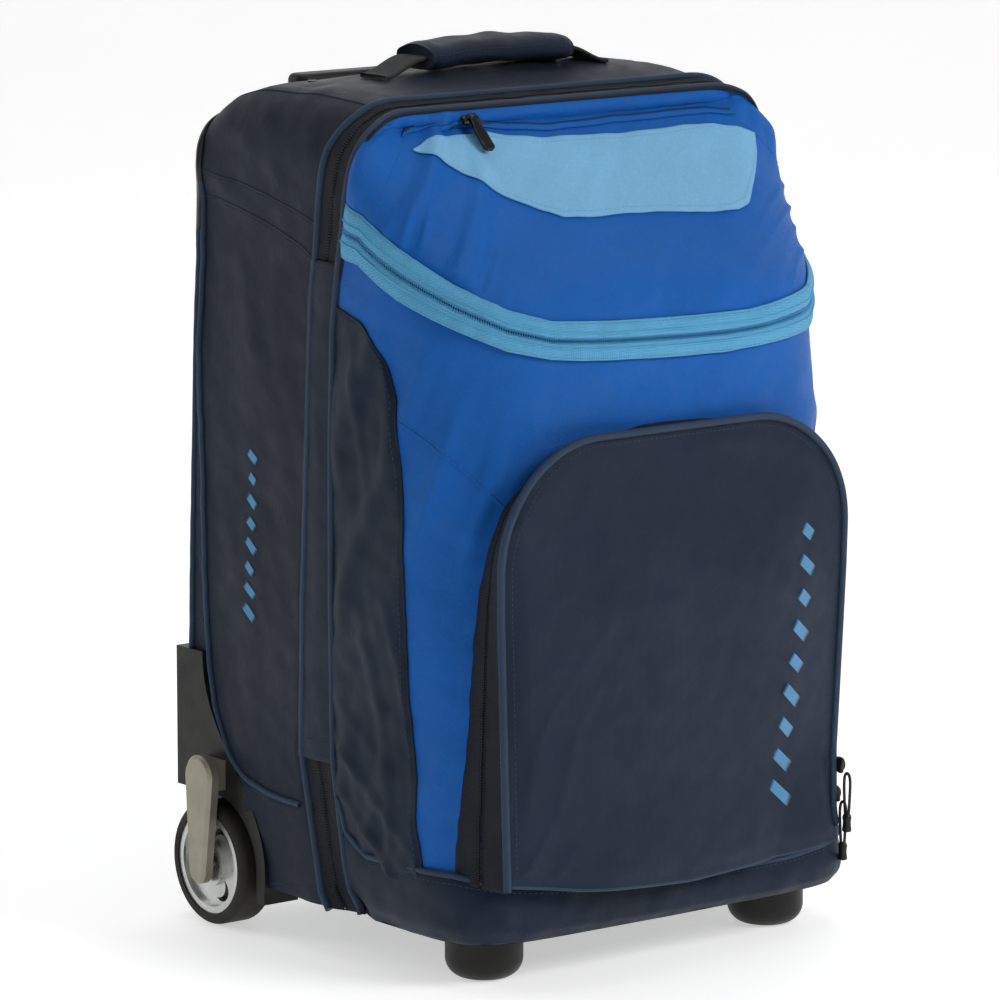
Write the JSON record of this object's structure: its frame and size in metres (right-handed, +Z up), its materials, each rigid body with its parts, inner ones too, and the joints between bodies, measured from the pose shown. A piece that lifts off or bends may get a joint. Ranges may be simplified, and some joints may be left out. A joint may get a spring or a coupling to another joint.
{
  "type": "hockey equipment bag",
  "caption": "Upright wheeled soft-sided bag with clamshell lid, zipped upper flap and arched front pocket, telescopic trolley handle, padded carry handle, rear wheels and front feet.",
  "frame": {"origin": "on the floor, at the middle of the bag's footprint", "axes": "+Z up along the bag's height, front faces -Y, +X to the bag's left when seen from behind it"},
  "size_m": [0.344, 0.308, 0.536],
  "materials": {
    "navy_fabric": "satin polyester weave",
    "royal_fabric": "satin polyester weave",
    "sky_fabric": "satin polyester weave",
    "black_webbing": "matt woven tape",
    "piping_cloth": "matt corded piping",
    "black_plastic": "fine moulded texture",
    "gloss_black": "polished",
    "arm_paint": "satin metallic paint",
    "tyre_rubber": "smooth rubber",
    "rim_silver": "satin metallic paint",
    "steel": "turned",
    "tube_alloy": "anodised",
    "board": "smooth board",
    "lining_cloth": "thin plain weave",
    "zip_metal": "black enamel",
    "pull_cord": "braided",
    "pull_plastic": "moulded"
  },
  "bodies": {
    "root": {"main_shell": "navy_fabric", "back_board": "board", "base_tray": "board", "tube_lining": "lining_cloth", "rear_zip_tape": "black_webbing", "rear_piping": "piping_cloth", "hinge_cover_rear": "navy_fabric", "corner_guard_left": "black_plastic", "corner_guard_right": "black_plastic", "wheel_housing_left": "black_plastic", "wheel_housing_right": "black_plastic", "arm_cover_left": "arm_paint", "arm_cover_right": "arm_paint", "axles": "steel", "handle_tray": "black_plastic", "tube_bracket": "black_plastic", "outer_tubes": "tube_alloy", "handle_anchors": "black_webbing", "carry_strap": "black_webbing", "carry_pad": "navy_fabric", "rivets": "steel"},
    "wheel_left": {"tyre_left": "tyre_rubber", "rim_left": "rim_silver", "bearings_left": "steel"},
    "wheel_right": {"tyre_right": "tyre_rubber", "rim_right": "rim_silver", "bearings_right": "steel"},
    "handle_middle": {"middle_tubes": "tube_alloy"},
    "handle_inner": {"inner_tubes": "tube_alloy", "handle_grip": "gloss_black"},
    "release_button": {"grip_button": "gloss_black", "release_rods": "steel"},
    "lid": {"lid_shell": "navy_fabric", "lid_back_panel": "board", "front_zip_tape": "black_webbing", "lid_piping": "piping_cloth", "hinge_cover_front": "navy_fabric", "base_skirt": "navy_fabric", "foot_left": "black_plastic", "foot_right": "black_plastic", "foot_screws": "steel", "band_lower_tape": "sky_fabric", "pocket_base_gusset": "black_webbing"},
    "upper_flap": {"flap_shell": "royal_fabric", "band_upper_tape": "sky_fabric", "patch_panel": "sky_fabric"},
    "pocket_flap": {"pocket_flap_panel": "navy_fabric", "pocket_flap_gusset": "black_webbing", "pocket_piping": "piping_cloth"},
    "roof_slider": {"roof_slider": "zip_metal"},
    "roof_pull": {"roof_pull": "zip_metal"},
    "pocket_slider_upper": {"pocket_slider_upper": "zip_metal", "pull_cord_upper": "pull_cord", "pull_end_upper": "pull_plastic"},
    "pocket_slider_lower": {"pocket_slider_lower": "zip_metal", "pull_cord_lower": "pull_cord", "pull_end_lower": "pull_plastic"},
    "main_slider": {"main_slider": "zip_metal"},
    "band_slider": {"band_slider": "zip_metal"}
  },
  "joints": [
    {"name": "lid_hinge", "type": "hinge", "parent": "root", "child": "lid", "pos_m": [-0.1573, 0.0045, 0.25], "axis": [0, 0, -1], "range_deg": [0, 110]},
    {"name": "upper_flap_hinge", "type": "hinge", "parent": "lid", "child": "upper_flap", "pos_m": [0, -0.009, 0.5015], "axis": [-1, 0, 0], "range_deg": [0, 95]},
    {"name": "pocket_flap_hinge", "type": "hinge", "parent": "lid", "child": "pocket_flap", "pos_m": [0, -0.134, 0.0555], "axis": [1, 0, 0], "range_deg": [0, 85]},
    {"name": "wheel_left_spin", "type": "hinge", "parent": "root", "child": "wheel_left", "pos_m": [-0.151, 0.115, 0.0376], "axis": [1, 0, 0], "continuous": true},
    {"name": "wheel_right_spin", "type": "hinge", "parent": "root", "child": "wheel_right", "pos_m": [0.151, 0.115, 0.0376], "axis": [1, 0, 0], "continuous": true},
    {"name": "handle_middle_slide", "type": "slide", "parent": "root", "child": "handle_middle", "axis": [0, 0, 1], "range_m": [0, 0.22]},
    {"name": "handle_inner_slide", "type": "slide", "parent": "handle_middle", "child": "handle_inner", "axis": [0, 0, 1], "range_m": [0, 0.22]},
    {"name": "release_button_press", "type": "slide", "parent": "handle_inner", "child": "release_button", "axis": [0, 0, -1], "range_m": [0, 0.003], "stiffness_N_per_m": 800, "springref_m": -0.003},
    {"name": "roof_slider_run", "type": "slide", "parent": "upper_flap", "child": "roof_slider", "axis": [1, 0, 0], "range_m": [0, 0.17]},
    {"name": "roof_pull_lift", "type": "hinge", "parent": "roof_slider", "child": "roof_pull", "pos_m": [-0.072, -0.02623, 0.4894], "axis": [-1, 0, 0], "range_deg": [0, 110]},
    {"name": "pocket_slider_upper_run", "type": "slide", "parent": "lid", "child": "pocket_slider_upper", "axis": [0, 0, 1], "range_m": [0, 0.09]},
    {"name": "pocket_slider_lower_run", "type": "slide", "parent": "lid", "child": "pocket_slider_lower", "axis": [0, 0, 1], "range_m": [0, 0.004]},
    {"name": "main_slider_run", "type": "slide", "parent": "root", "child": "main_slider", "axis": [0, 0, 1], "range_m": [-0.12, 0.17]},
    {"name": "band_slider_run", "type": "slide", "parent": "lid", "child": "band_slider", "axis": [0, -0.9102, -0.4142], "range_m": [0, 0.045]}
  ]
}
